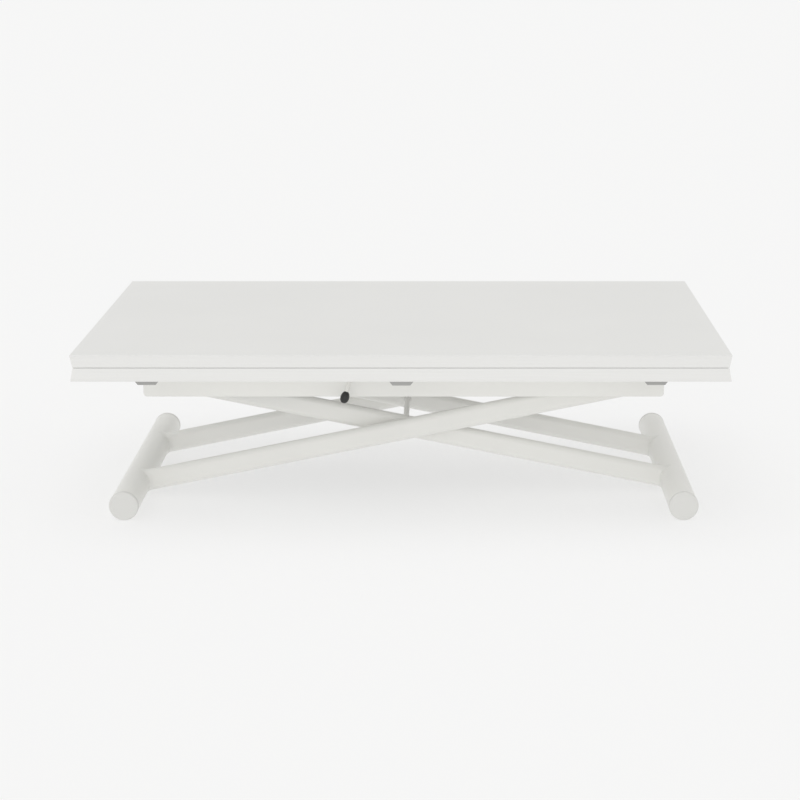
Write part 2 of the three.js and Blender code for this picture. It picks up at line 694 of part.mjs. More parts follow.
// Half a hinge, drawn at X = 0. The lower half has the two outer knuckles and the pin,
// the upper half the middle knuckle.
function hingeHalf(up) {
  const inner = HINGE_Z + up * (LEAF_GAP / 2 + 0.1);
  const outer = inner + up * HINGE_PLATE;
  const plate = box(-HINGE_HALF_WIDTH, HINGE_HALF_WIDTH, HINGE_Y - HINGE_REACH, HINGE_Y,
    Math.min(inner, outer), Math.max(inner, outer));
  const clear = HINGE_RADIUS + GAP;
  const far = HINGE_HALF_WIDTH + 1;
  const split = KNUCKLE_HALF - GAP / 2;
  if (up > 0) {
    return combine(plate, [
      ['subtract', hingeLine(clear, -far, -split)],
      ['subtract', hingeLine(clear, split, far)],
      ['add', hingeLine(HINGE_RADIUS, -split, split)],
      ['subtract', hingeLine(PIN_RADIUS + GAP, -far, far)],
    ]);
  }
  const outerSplit = KNUCKLE_HALF + GAP / 2;
  return combine(plate, [
    ['subtract', hingeLine(clear, -outerSplit, outerSplit)],
    ['add', hingeLine(HINGE_RADIUS, -HINGE_HALF_WIDTH, -outerSplit)],
    ['add', hingeLine(HINGE_RADIUS, outerSplit, HINGE_HALF_WIDTH)],
    ['add', hingeLine(PIN_RADIUS, -outerSplit - 1, outerSplit + 1)],
  ]);
}

// A rail under the lower leaf: splayed sides and a tee slot, closed at both ends.
function slideRail(railFront) {
  const shape = new THREE.Shape();
  shape.moveTo(-RAIL_BOTTOM_HALF, RAIL_BOTTOM);
  shape.lineTo(RAIL_BOTTOM_HALF, RAIL_BOTTOM);
  shape.lineTo(RAIL_TOP_HALF, LOWER_LEAF_BOTTOM - GAP);
  shape.lineTo(-RAIL_TOP_HALF, LOWER_LEAF_BOTTOM - GAP);
  shape.closePath();
  const front = SHOE_FRONT - 2;
  const rear = SHOE_REAR + SLIDE_TRAVEL + 2;
  const neck = SLOT_NECK_HALF;
  const head = SLOT_HEAD_HALF;
  return combine(alongY(shape, railFront, RAIL_REAR), [
    ['subtract', box(-neck, neck, front, rear, RAIL_BOTTOM - 1, RAIL_LIP_TOP + 1)],
    ['subtract', box(-head, head, front, rear, RAIL_LIP_TOP, RAIL_SLOT_TOP)],
  ]);
}

function lowerTop() {
  const group = new THREE.Group();
  piece(group, 'lower_leaf', leaf(-1), whiteBoard);
  for (const [place, x] of HINGE_PLACES) {
    piece(group, `hinge_lower_${place}`, hingeHalf(-1), zincSteel).position.x = x;
  }
  for (const [place, x, railFront] of RAIL_PLACES) {
    piece(group, `slide_rail_${place}`, slideRail(railFront), greyPlastic).position.x = x;
  }
  return group;
}

function upperTop() {
  const group = new THREE.Group();
  piece(group, 'upper_leaf', leaf(1), whiteBoard);
  for (const [place, x] of HINGE_PLACES) {
    piece(group, `hinge_upper_${place}`, hingeHalf(1), zincSteel).position.x = x;
  }
  return group;
}

// -------------------------------------------------------------------------- assembly

const table = new THREE.Group();
table.name = 'lift_top_coffee_table';
for (const [side, sign] of SIDES) {
  const foot = new THREE.Group();
  foot.position.set(LEGS_X + sign * FOOT_X, 0, FOOT_Z);
  rollers(foot, side);
  table.add(foot);
}
table.add(outerLegs(), innerLegs(), carriage(), topFrame(), releaseLever(), lowerTop(), upperTop());

export default table;
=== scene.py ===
import bmesh
import bpy
import json
import math
from mathutils import Matrix, Vector


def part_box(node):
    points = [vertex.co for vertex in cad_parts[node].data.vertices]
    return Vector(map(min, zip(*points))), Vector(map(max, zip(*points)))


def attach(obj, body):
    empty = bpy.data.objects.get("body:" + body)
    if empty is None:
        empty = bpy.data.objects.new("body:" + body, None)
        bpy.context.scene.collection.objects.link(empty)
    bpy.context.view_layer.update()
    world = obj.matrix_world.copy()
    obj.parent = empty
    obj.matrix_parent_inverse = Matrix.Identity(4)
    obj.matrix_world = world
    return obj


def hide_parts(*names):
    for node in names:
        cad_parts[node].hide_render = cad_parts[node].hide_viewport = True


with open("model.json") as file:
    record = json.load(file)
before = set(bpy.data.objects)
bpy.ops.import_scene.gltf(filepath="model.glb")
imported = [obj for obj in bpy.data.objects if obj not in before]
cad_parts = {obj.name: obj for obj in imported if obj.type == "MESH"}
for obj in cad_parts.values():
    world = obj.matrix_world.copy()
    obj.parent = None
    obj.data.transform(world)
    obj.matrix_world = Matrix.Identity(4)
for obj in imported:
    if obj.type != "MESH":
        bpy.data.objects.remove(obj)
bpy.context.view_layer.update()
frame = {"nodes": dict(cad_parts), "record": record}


# ------------------------------------------------------------------ camera and studio
# A long lens a little right of the table's middle, looking slightly down. The floor and
# backdrop are one pale sweep, lit evenly from all round and a little more from the front.

scene = bpy.context.scene
camera = bpy.data.objects.new("camera", bpy.data.cameras.new("camera"))
CAMERA_TILT = 13.51  # degrees below level
camera.location = (0.076, -3.638, 1.019)
camera.rotation_euler = (math.radians(90 - CAMERA_TILT), 0, 0)
camera.data.lens = 91.35
camera.data.shift_x = -0.0584
scene.collection.objects.link(camera)
scene.camera = camera
scene.view_settings.view_transform = "Standard"

sky = bpy.data.worlds.new("studio")
sky.use_nodes = True
sky_nodes = sky.node_tree.nodes
sky_light = sky_nodes["Background"]
sky_light.inputs["Color"].default_value = (1.0, 0.999, 0.99, 1)
sky_light.inputs["Strength"].default_value = 0.7
backdrop = sky_nodes.new("ShaderNodeBackground")
backdrop.inputs["Color"].default_value = (1, 1, 1, 1)
backdrop.inputs["Strength"].default_value = 0.925
seen = sky_nodes.new("ShaderNodeLightPath")
either = sky_nodes.new("ShaderNodeMixShader")
sky.node_tree.links.new(seen.outputs["Is Camera Ray"], either.inputs["Fac"])
sky.node_tree.links.new(sky_light.outputs["Background"], either.inputs[1])
sky.node_tree.links.new(backdrop.outputs["Background"], either.inputs[2])
sky.node_tree.links.new(either.outputs["Shader"], sky_nodes["World Output"].inputs["Surface"])
scene.world = sky


def lamp(name, direction, power, spread, shadow):
    """A distant soft lamp that shines from a direction."""
    light = bpy.data.objects.new(name, bpy.data.lights.new(name, "SUN"))
    light.data.energy = power
    light.data.angle = math.radians(spread)
    light.data.use_shadow = shadow
    light.rotation_euler = Vector(direction).to_track_quat("Z", "Y").to_euler()
    scene.collection.objects.link(light)


lamp("overhead", (-0.1, 0, 1), 0.28, 60, True)
lamp("overhead_fill", (-0.3, -0.15, 1), 0.57, 60, False)
lamp("front_soft", (-0.15, -1, 0.2), 0.3, 40, True)
lamp("front_fill", (-0.15, -0.87, -0.4), 0.31, 40, False)
lamp("left_fill", (-1, -0.1, 0.25), 0.09, 60, False)
lamp("right_fill", (1, -0.1, 0.25), 0.13, 60, False)

FLOOR_REACH = 60
floor_mesh = bmesh.new()
bmesh.ops.create_grid(floor_mesh, x_segments=1, y_segments=1, size=FLOOR_REACH)
floor_data = bpy.data.meshes.new("floor")
floor_mesh.to_mesh(floor_data)
floor_mesh.free()
floor = bpy.data.objects.new("floor", floor_data)
scene.collection.objects.link(floor)
floor_paint = bpy.data.materials.new("floor")
floor_paint.use_nodes = True
floor_shader = floor_paint.node_tree.nodes["Principled BSDF"]
floor_shader.inputs["Base Color"].default_value = (0.49, 0.49, 0.49, 1)
floor_shader.inputs["Roughness"].default_value = 1.0
floor_shader.inputs["Specular IOR Level"].default_value = 0.0
floor_shader.inputs["Emission Color"].default_value = (1, 1, 1, 1)
floor_shader.inputs["Emission Strength"].default_value = 0.437
floor_data.materials.append(floor_paint)


# ---------------------------------------------------------------------------- foot bars
# Each foot is a 50 mm steel tube, powder coated white with the fine orange peel that the
# coating cures to. A plain nylon roller closes each end, with one fine line at its rim.

MM = 0.001
X, Y, Z = Vector((1, 0, 0)), Vector((0, 1, 0)), Vector((0, 0, 1))
pivot = {joint["name"]: Vector(joint["pos_m"])
         for joint in frame["record"]["behaviour"]["joints"] if joint.get("pos_m")}


def join_nodes(tree, source, target):
    """Links one node's output to another's input."""
    tree.links.new(source, target)


def build_variation():
    """Slow drift in tone and a fine surface height, from a place on the piece."""
    group = bpy.data.node_groups.new("finish_variation", "ShaderNodeTree")
    group.interface.new_socket(name="Vector", in_out="INPUT", socket_type="NodeSocketVector")
    group.interface.new_socket(name="Drift Scale", in_out="INPUT", socket_type="NodeSocketFloat")
    group.interface.new_socket(name="Grain Scale", in_out="INPUT", socket_type="NodeSocketFloat")
    group.interface.new_socket(name="Drift", in_out="OUTPUT", socket_type="NodeSocketFloat")
    group.interface.new_socket(name="Grain", in_out="OUTPUT", socket_type="NodeSocketFloat")
    start = group.nodes.new("NodeGroupInput")
    end = group.nodes.new("NodeGroupOutput")
    for label, detail in (("Drift", 3), ("Grain", 2)):
        noise = group.nodes.new("ShaderNodeTexNoise")
        noise.inputs["Detail"].default_value = detail
        noise.inputs["Roughness"].default_value = 0.55
        join_nodes(group, start.outputs["Vector"], noise.inputs["Vector"])
        join_nodes(group, start.outputs[label + " Scale"], noise.inputs["Scale"])
        join_nodes(group, noise.outputs["Fac"], end.inputs[label])
    return group


variation = build_variation()


def finish(name, pale, dark, roughness, spread=0.05, drift=6, grain=900, depth=0.02, metal=0.0,
           stretch=(1, 1, 1), coat=0.0):
    """A finish whose tone and gloss drift a little over a fine grain, which may be drawn out."""
    material = bpy.data.materials.new(name)
    material.use_nodes = True
    tree = material.node_tree
    shader = tree.nodes["Principled BSDF"]
    shader.inputs["Metallic"].default_value = metal
    shader.inputs["Coat Weight"].default_value = coat
    place = tree.nodes.new("ShaderNodeTexCoord")
    draw_out = tree.nodes.new("ShaderNodeMapping")
    draw_out.inputs["Scale"].default_value = stretch
    join_nodes(tree, place.outputs["Object"], draw_out.inputs["Vector"])
    pattern = tree.nodes.new("ShaderNodeGroup")
    pattern.node_tree = variation
    pattern.inputs["Drift Scale"].default_value = drift
    pattern.inputs["Grain Scale"].default_value = grain
    join_nodes(tree, draw_out.outputs["Vector"], pattern.inputs["Vector"])
    tone = tree.nodes.new("ShaderNodeValToRGB")
    tone.name = "tone"
    tone.color_ramp.elements[0].position = 0.35
    tone.color_ramp.elements[1].position = 0.65
    tone.color_ramp.elements[0].color = (*dark, 1)
    tone.color_ramp.elements[1].color = (*pale, 1)
    join_nodes(tree, pattern.outputs["Drift"], tone.inputs["Fac"])
    join_nodes(tree, tone.outputs["Color"], shader.inputs["Base Color"])
    gloss = tree.nodes.new("ShaderNodeMapRange")
    gloss.inputs["To Min"].default_value = roughness - spread
    gloss.inputs["To Max"].default_value = roughness + spread
    join_nodes(tree, pattern.outputs["Grain"], gloss.inputs["Value"])
    join_nodes(tree, gloss.outputs["Result"], shader.inputs["Roughness"])
    relief = tree.nodes.new("ShaderNodeBump")
    relief.inputs["Strength"].default_value = 0.6
    relief.inputs["Distance"].default_value = depth * MM
    join_nodes(tree, pattern.outputs["Grain"], relief.inputs["Height"])
    join_nodes(tree, relief.outputs["Normal"], shader.inputs["Normal"])
    return material


frame_coat = finish("white_frame_coat", (0.805, 0.802, 0.772), (0.792, 0.789, 0.76), 0.40,
                    grain=620, depth=0.03)
# The legs and centre shaft have the frame's white coat painted a shade darker, as painted shade
# for their place under the table.
leg_coat_painted_shade = finish("white_coat_painted_shade", (0.765, 0.762, 0.732), (0.752, 0.749, 0.72), 0.40,
                     grain=620, depth=0.03)
nylon = finish("white_nylon", (0.685, 0.683, 0.66), (0.672, 0.67, 0.648), 0.5, grain=2200)


def add_piece(bm, name, body, slot, material, *nodes, sharp=35):
    """Makes a piece of a bmesh, riding on a body and standing for the named CAD nodes."""
    data = bpy.data.meshes.new(name)
    bm.to_mesh(data)
    bm.free()
    data.materials.append(material)
    data.shade_smooth()
    data.set_sharp_from_angle(angle=math.radians(sharp))
    piece = bpy.data.objects.new(name, data)
    scene.collection.objects.link(piece)
    even = piece.modifiers.new("even_normals", "WEIGHTED_NORMAL")
    even.keep_sharp = True
    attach(piece, body)
    if nodes:
        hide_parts(*nodes)
    return piece


def turn(points, axis, centre, steps=48, closed=False):
    """Turns a profile of (radius, distance along the axis), in mm, like a lathe."""
    bm = bmesh.new()
    side = X if abs(axis.x) < 0.9 else Z
    side = (side - axis * side.dot(axis)).normalized()
    verts = [bm.verts.new(Vector(centre) + (side * r + axis * a) * MM) for r, a in points]
    edges = [bm.edges.new(pair) for pair in zip(verts, verts[1:])]
    if closed:
        edges.append(bm.edges.new((verts[-1], verts[0])))
    bmesh.ops.spin(bm, geom=verts + edges, cent=centre, axis=axis, angle=2 * math.pi,
                   steps=steps, use_merge=True)
    bmesh.ops.remove_doubles(bm, verts=bm.verts, dist=0.001 * MM)
    bmesh.ops.recalc_face_normals(bm, faces=bm.faces)
    return bm


def put_together(*parts):
    """One bmesh of several."""
    whole = bmesh.new()
    for part in parts:
        data = bpy.data.meshes.new("part")
        part.to_mesh(data)
        part.free()
        whole.from_mesh(data)
        bpy.data.meshes.remove(data)
    return whole


TUBE_RADIUS = 25
TUBE_WALL = 2.5
TUBE_EDGE = 0.8  # the ends' outer corner is broken by this much
CAP_RADIUS = 25.4
CAP_PROUD = 7.8
for side, legs_body, roller_body, joint in (("left", "outer_legs", "left_rollers", "lift"),
                                            ("right", "inner_legs", "right_rollers",
                                             "right_roller_spin")):
    low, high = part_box(side + "_foot_bar")
    half = (high.y - low.y) / 2 / MM
    bore = TUBE_RADIUS - TUBE_WALL
    front_end = [(bore, -half + 0.5), (bore + 0.5, -half), (TUBE_RADIUS - TUBE_EDGE, -half),
                 (TUBE_RADIUS - 0.23, -half + 0.23), (TUBE_RADIUS, -half + TUBE_EDGE)]
    rear_end = [(radius, -along) for radius, along in reversed(front_end)]
    profile = [*front_end, (TUBE_RADIUS, 0), *rear_end, (bore, 0)]
    tube = turn(profile, Y, pivot[joint], steps=96, closed=True)
    add_piece(tube, side + "_foot_tube", legs_body, "white_paint", frame_coat, side + "_foot_bar")
    for end, sign in (("front", -1), ("rear", 1)):
        face = pivot[joint] + Y * sign * half * MM
        disc = [(0, 7.7), (20.8, 7.7), (21.1, 7.55), (21.5, 7.55), (21.8, CAP_PROUD)]
        rim = [(23.2, CAP_PROUD), (24.3, 7.4), (25.1, 6.6), (CAP_RADIUS, 5.4),
               (CAP_RADIUS, 0.9), (25.2, 0.4), (24.6, 0.3)]
        plug = [(22.2, 0.3), (22.2, -13.2), (21.4, -14), (6.5, -14), (6.3, -13.6), (6.3, 4),
                (0, 4)]
        roller = turn(disc + rim + plug, Y * sign, face, steps=96)
        add_piece(roller, f"{side}_roller_cap_{end}", roller_body, "white_nylon", nylon,
                  f"{side}_roller_{end}")


# --------------------------------------------------------------------------------- legs
# Four flat-oval tubes, 38 x 20 mm. Each is cupped to its foot bar and welded all round,
# and the coating runs over the weld. The upper end is pressed round about its pivot.

LEG_WIDTH = 20
LEG_HEIGHT = 38
OVAL_CORNERS = 56
# The weld's outline: how far it stands off the tube, and how far up the leg it has got.
WELD = [(4.8, 0.2), (3.6, 0.8), (2.8, 1.4), (1.8, 2.4), (0.9, 3.9), (0.25, 6.0), (0, 8.5)]
WELD_CLEAR = 34  # from the foot's axis, where the tube runs straight
# How far past the pivot each loop of the rounded upper end lies.
PRESSED_END = (5, 9, 12.5, 15.2, 17.2, 18.4, 18.9)


def follow(bm, edges, move):
    """Draws an edge loop out by one step and puts each new corner where move says."""
    made = bmesh.ops.extrude_edge_only(bm, edges=edges)["geom"]
    corners = [g for g in made if isinstance(g, bmesh.types.BMVert)]
    for corner in corners:
        corner.co = move(corner.co)
    fresh = set(corners)
    return [g for g in made if isinstance(g, bmesh.types.BMEdge) and fresh.issuperset(g.verts)]


def leg(foot, top, across):
    """An oval tube from a foot's axis to its upper pivot, drawn along X and then placed."""
    length = (top - foot).length / MM
    radius = LEG_WIDTH / 2
    straight = LEG_HEIGHT / 2 - radius
    bm = bmesh.new()
    made = bmesh.ops.create_circle(bm, segments=OVAL_CORNERS, radius=radius)
    half_step = Matrix.Rotation(math.pi / OVAL_CORNERS, 4, "Z")
    bmesh.ops.transform(bm, matrix=Matrix.Rotation(math.pi / 2, 4, "Y") @ half_step,
                        verts=bm.verts)
    for corner in made["verts"]:
        corner.co.z += math.copysign(straight, corner.co.z)

    def outward(co):
        """The oval's corner and its outward direction at a point of the outline."""
        core = Vector((0, 0, max(-straight, min(straight, co.z))))
        flat = Vector((0, co.y, co.z))
        way = (flat - core).normalized()
        return core + way * radius, way

    def weld_step(grow, along):
        """Corners of the weld, cupped round the foot bar."""
        def move(co):
            skin, way = outward(co)
            spot = skin + way * grow
            cup = math.sqrt(max(TUBE_RADIUS ** 2 - spot.z ** 2, 0))
            return Vector((cup + along, spot.y, spot.z))
        return move

    def tube_step(at):
        """Corners square across the tube."""
        def move(co):
            skin, _ = outward(co)
            return Vector((at, skin.y, skin.z))
        return move

    def end_step(past):
        """Corners of the end pressed round about the pivot."""
        squeeze = math.sqrt(max((LEG_HEIGHT / 2) ** 2 - past ** 2, 0)) / (LEG_HEIGHT / 2)

        def move(co):
            skin, _ = outward(co)
            return Vector((length + past, skin.y, skin.z * squeeze))
        return move

    first = weld_step(*WELD[0])
    for corner in bm.verts:
        corner.co = first(corner.co)
    edges = bm.edges[:]
    for grow, along in WELD[1:]:
        edges = follow(bm, edges, weld_step(grow, along))
    for at in (WELD_CLEAR, length / 2, length):
        edges = follow(bm, edges, tube_step(at))
    for past in PRESSED_END:
        edges = follow(bm, edges, end_step(past))
    bmesh.ops.contextual_create(bm, geom=edges)
    rim = [e for e in bm.edges if e.is_boundary]
    follow(bm, rim, lambda co: Vector((max(co.x - 0.3, 0), co.y * 0.8, co.z * 0.88)))
    bmesh.ops.recalc_face_normals(bm, faces=bm.faces)
    bmesh.ops.scale(bm, vec=(MM, MM, MM), verts=bm.verts)
    way = (top - foot).normalized()
    lift = math.atan2(way.z, abs(way.x))
    swing = -lift if way.x > 0 else math.pi + lift
    place = Matrix.Translation(foot + Y * across) @ Matrix.Rotation(swing, 4, "Y")
    bmesh.ops.transform(bm, matrix=place, verts=bm.verts)
    return bm


for body, foot, top, kind in (("outer_legs", pivot["lift"], pivot["upper_pivot"], "outer"),
                              ("inner_legs", pivot["right_roller_spin"], pivot["carriage_pivot"],
                               "inner")):
    for end in ("front", "rear"):
        low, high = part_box(f"{kind}_leg_{end}")
        across = (low.y + high.y) / 2
        add_piece(leg(foot, top, across), f"{kind}_leg_tube_{end}", body, "white_paint",
                  leg_coat_painted_shade, f"{kind}_leg_{end}", sharp=60)


# ------------------------------------------------------------------------- centre axle
# A painted cross shaft, thicker at its middle and in its bearings, ties the outer legs at
# the crossing. The inner legs turn on it in flanged nylon bushes.

bright_steel = finish("bright_steel", (0.62, 0.63, 0.64), (0.56, 0.57, 0.58), 0.24, metal=1.0,
                      drift=30, grain=900, depth=0.006, stretch=(1, 0.05, 1))
AXLE_RADIUS = 5
AXLE_WAIST = 4.1
WAIST_START, WAIST_END = 45, 89  # from the middle
low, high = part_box("centre_axle")
reach = (high.y - low.y) / 2 / MM
half_shaft = [(AXLE_RADIUS, WAIST_START - 1), (AXLE_WAIST, WAIST_START), (AXLE_WAIST, WAIST_END),
              (AXLE_RADIUS, WAIST_END + 1), (AXLE_RADIUS, reach - 0.6),
              (AXLE_RADIUS - 0.6, reach), (0, reach)]
other_half = [(radius, -along) for radius, along in reversed(half_shaft)]
shaft = turn(other_half + half_shaft, Y, pivot["scissor"])
add_piece(shaft, "centre_shaft", "outer_legs", "white_paint", leg_coat_painted_shade, "centre_axle")
for end, sign in (("front", -1), ("rear", 1)):
    low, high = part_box("centre_bush_" + end)
    near, far = sorted((abs(low.y), abs(high.y)))
    middle = pivot["scissor"] + Y * sign * near
    length = (far - near) / MM
    bush = turn([(5.3, -1.0), (5.3, length + 1.4), (9.3, length + 1.4), (9.6, length + 1.1),
                 (9.6, length + 0.1), (7, length + 0.1), (7, 0), (7, -1.0)], Y * sign, middle,
                closed=True)
    add_piece(bush, "crossing_bush_" + end, "inner_legs", "white_nylon", nylon,
              "centre_bush_" + end)


# ----------------------------------------------------------------------- lifting frame
# Two 60 mm steel flats on edge with rounded lower corners, end plates and three crossbars
# between them, all welded and coated together. The channel tracks are zinc plated.

zinc = finish("zinc_plate", (0.52, 0.54, 0.55), (0.45, 0.47, 0.49), 0.36, metal=1.0, drift=45,
              grain=1400, depth=0.008)


def softened(node, width, corner=50):
    """A CAD node's shape with its flats made whole and its corners eased by width, in mm."""
    bm = bmesh.new()
    bm.from_mesh(frame["nodes"][node].data)
    bmesh.ops.remove_doubles(bm, verts=bm.verts, dist=0.01 * MM)
    bmesh.ops.dissolve_limit(bm, angle_limit=math.radians(0.5), verts=bm.verts, edges=bm.edges)
    corners = [e for e in bm.edges if len(e.link_faces) == 2
               and e.calc_face_angle(0) > math.radians(corner)]
    bmesh.ops.bevel(bm, geom=corners, offset=width * MM, offset_type="OFFSET", segments=2,
                    profile=0.5, affect="EDGES", clamp_overlap=True, material=-1)
    return bm


def weld_bead(start, end, radius=1.7):
    """A low rippled run of weld along a joint."""
    way = Vector(end) - Vector(start)
    length = way.length / MM
    ripples = max(6, round(length / 2.2))
    points = [(0, -0.6)]
    for i in range(ripples + 1):
        points.append((radius * (1 + 0.1 * (i % 2)), length * i / ripples))
    points.append((0, length + 0.6))
    return turn(points, way.normalized(), start, steps=12)


for end in ("front", "rear"):
    add_piece(softened("frame_rail_" + end, 0.8), "side_rail_" + end, "top_frame", "white_paint",
              frame_coat, "frame_rail_" + end)
    add_piece(softened("track_" + end, 0.4), "runner_track_" + end, "top_frame", "zinc_steel",
              zinc, "track_" + end)
for side, inward in (("left", 1), ("right", -1)):
    low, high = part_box("frame_end_" + side)
    joint_x = high.x if inward > 0 else low.x
    beads = [weld_bead((joint_x, y, low.z + 2 * MM), (joint_x, y, high.z - 3 * MM))
             for y in (low.y, high.y)]
    add_piece(put_together(softened("frame_end_" + side, 0.5), *beads), "end_plate_" + side,
              "top_frame", "white_paint", frame_coat, "frame_end_" + side)


def pan_screw(seat, way, radius=4.2, height=2.4):
    """A pan head with a round socket, sitting on a surface."""
    return turn([(0, height * 0.45), (radius * 0.42, height * 0.45), (radius * 0.46, height),
                 (radius * 0.62, height), (radius * 0.9, height * 0.72), (radius, height * 0.3),
                 (radius, 0), (0, 0)], way, seat, steps=24)


SHOE_SCREW_INSET = 22 * MM
for place in ("left", "centre", "right"):
    low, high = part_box("crossbar_" + place)
    middle = (low.x + high.x) / 2
    beads = [weld_bead((low.x + 3 * MM, y, low.z), (high.x - 3 * MM, y, low.z))
             for y in (low.y, high.y)]
    add_piece(put_together(softened("crossbar_" + place, 0.5), *beads), "cross_flat_" + place,
              "top_frame", "white_paint", frame_coat, "crossbar_" + place)
    shoe_low, shoe_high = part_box("slide_shoe_" + place)
    screws = [pan_screw((middle, y, low.z), -Z)
              for y in (shoe_low.y + SHOE_SCREW_INSET, shoe_high.y - SHOE_SCREW_INSET)]
    add_piece(put_together(*screws), "shoe_screws_" + place, "top_frame", "zinc_steel", zinc)
    add_piece(softened("slide_shoe_" + place, 0.25), "slide_shoe_block_" + place, "top_frame",
              "white_nylon", nylon, "slide_shoe_" + place)


# ------------------------------------------------------------- upper axle and carriage
# A ground steel axle joins the tops of each pair of legs, chamfered, with a clip in a
# groove against each leg. Two nylon blocks on the left one run in the tracks.

def clip(centre, way, radius=6):
    """An open spring clip round an axle."""
    return turn([(radius, 0), (radius + 3.6, 0), (radius + 3.9, 0.2), (radius + 3.9, 0.9),
                 (radius + 3.6, 1.1), (radius, 1.1)], way, centre, closed=True)


for node, name, body, joint, legs in (
        ("upper_axle", "fixed_upper_axle", "top_frame", "upper_pivot", "outer"),
        ("inner_upper_axle", "sliding_upper_axle", "inner_legs", "carriage_pivot", "inner")):
    low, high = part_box(node)
    reach = high.y / MM
    shaft = turn([(0, -reach), (5.4, -reach), (6, -reach + 0.6), (6, reach - 0.6), (5.4, reach),
                  (0, reach)], Y, pivot[joint])
    parts = [shaft]
    for end, sign in (("front", -1), ("rear", 1)):
        leg_low, leg_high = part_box(f"{legs}_leg_{end}")
        inner_face = min(abs(leg_low.y), abs(leg_high.y))
        parts.append(clip(pivot[joint] + Y * sign * (inner_face - 1.6 * MM), Y * sign))
    add_piece(put_together(*parts), name, body, "bright_steel", bright_steel, node)

for end in ("front", "rear"):
    add_piece(softened("slide_block_" + end, 0.9), "runner_block_" + end, "carriage",
              "white_nylon", nylon, "slide_block_" + end)


# ------------------------------------------------------------------------- gas spring
# A black lacquered cylinder, rolled in over its guide at the rod end and closed by a
# threaded stud that passes through the beam to the release head.

lacquer = finish("black_lacquer", (0.022, 0.022, 0.024), (0.016, 0.016, 0.018), 0.24, drift=12,
                 grain=500, depth=0.01, coat=0.3)
grey_moulding = finish("grey_moulding", (0.372, 0.370, 0.360), (0.352, 0.350, 0.341), 0.5,
                       grain=1500, depth=0.03)
black_moulding = finish("black_moulding", (0.017, 0.017, 0.0172), (0.014, 0.014, 0.0142), 0.3,
                        grain=1800, depth=0.01)

CYLINDER_RADIUS = 14
STUD_RADIUS = 5
ROD_HOLE = 5.5
CHAMBER_RADIUS = 12
END_WALL = 6
spring_low, spring_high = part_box("gas_spring_cylinder")
beam_low, beam_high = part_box("spring_beam")
spring_axis = Vector((spring_low.x, 0, (spring_low.z + spring_high.z) / 2))
body_length = (beam_low.x - 4 * MM - spring_low.x) / MM
total = (spring_high.x - spring_low.x) / MM
rolled_end = [(ROD_HOLE, END_WALL), (ROD_HOLE, 0.6), (6.1, 0), (10.8, 0), (12.6, 0.5),
              (13.6, 1.6), (CYLINDER_RADIUS, 3.2)]
groove = [(CYLINDER_RADIUS, 9.5), (13.3, 10.4), (13.3, 11.4), (CYLINDER_RADIUS, 12.3)]
closed_end = [(CYLINDER_RADIUS, body_length - 2.5), (13.4, body_length - 0.8),
              (CHAMBER_RADIUS, body_length), (STUD_RADIUS, body_length)]
stud = [(STUD_RADIUS, total - 0.8), (STUD_RADIUS - 0.8, total), (0, total)]
chamber = [(0, body_length - END_WALL), (CHAMBER_RADIUS, body_length - END_WALL),
           (CHAMBER_RADIUS, END_WALL)]
cylinder = turn(rolled_end + groove + closed_end + stud + chamber, X, spring_axis, closed=True)
add_piece(cylinder, "gas_spring_tube", "top_frame", "black_paint", lacquer, "gas_spring_cylinder")

NUT_RADIUS = 8.6 * MM
NUT_THICKNESS = 3.4 * MM
nut_face = Vector((beam_high.x, 0, spring_axis.z))
nut = bmesh.new()
bmesh.ops.create_cone(nut, cap_ends=True, segments=6, radius1=NUT_RADIUS, radius2=NUT_RADIUS,
                      depth=NUT_THICKNESS)
bmesh.ops.bevel(nut, geom=nut.edges[:], offset=0.5 * MM, offset_type="OFFSET", segments=2,
                profile=0.5, affect="EDGES", material=-1)
bmesh.ops.transform(nut, matrix=Matrix.Translation(nut_face + X * 1.8 * MM)
                    @ Matrix.Rotation(math.pi / 2, 4, "Y"), verts=nut.verts)
add_piece(nut, "stud_nut", "top_frame", "zinc_steel", zinc)

EYE_BORE = 6.3
EYE_RADIUS = 12
EYE_HALF = 8
EYE_SKIN = 10.4  # from the eye's middle to where the rod is cut, just inside its skin
ROD_RADIUS = 5
PISTON_RADIUS = 11.6
rod_low, rod_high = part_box("gas_spring_rod")
eye = pivot["carriage_pivot"]
rod_reach = (rod_high.x - eye.x) / MM
eye_front = [(EYE_BORE, -EYE_HALF + 0.4), (6.7, -EYE_HALF), (11.2, -EYE_HALF),
             (EYE_RADIUS, -EYE_HALF + 0.8)]
eye_rear = [(radius, -along) for radius, along in reversed(eye_front)]
eye_ring = turn(eye_front + eye_rear, Y, eye, closed=True)
neck = [(0, 9), (6.2, 9), (6.2, 18), (ROD_RADIUS, 19.5), (ROD_RADIUS, rod_reach - 12)]
piston = [(11.4, rod_reach - 12), (PISTON_RADIUS, rod_reach - 11.6),
          (PISTON_RADIUS, rod_reach - 0.4), (11.2, rod_reach), (0, rod_reach)]
rod = turn(neck + piston, X, eye)
bmesh.ops.bisect_plane(rod, geom=rod.verts[:] + rod.edges[:] + rod.faces[:],
                       plane_co=eye + X * EYE_SKIN * MM, plane_no=-X, clear_outer=True)
add_piece(put_together(eye_ring, rod), "piston_rod", "carriage", "bright_steel", bright_steel,
          "gas_spring_rod")

beads = [weld_bead((beam_low.x, y, beam_low.z + 2 * MM), (beam_low.x, y, beam_high.z - 2 * MM))
         for y in (beam_low.y, beam_high.y)]
add_piece(put_together(softened("spring_beam", 0.5), *beads), "anchor_beam", "top_frame",
          "white_paint", frame_coat, "spring_beam")
add_piece(softened("spring_clamp", 0.5), "cylinder_clamp", "top_frame", "grey_plastic",
          grey_moulding, "spring_clamp")
add_piece(softened("release_head", 1.0), "release_head_body", "top_frame", "black_plastic",
          black_moulding, "release_head")


# ---------------------------------------------------------------------- release lever
# A bent 8 mm rod in a moulded block behind the front rail. A black egg knob is pressed on
# its lower end, and a crank at its inner end pulls the cable of the gas spring's release.

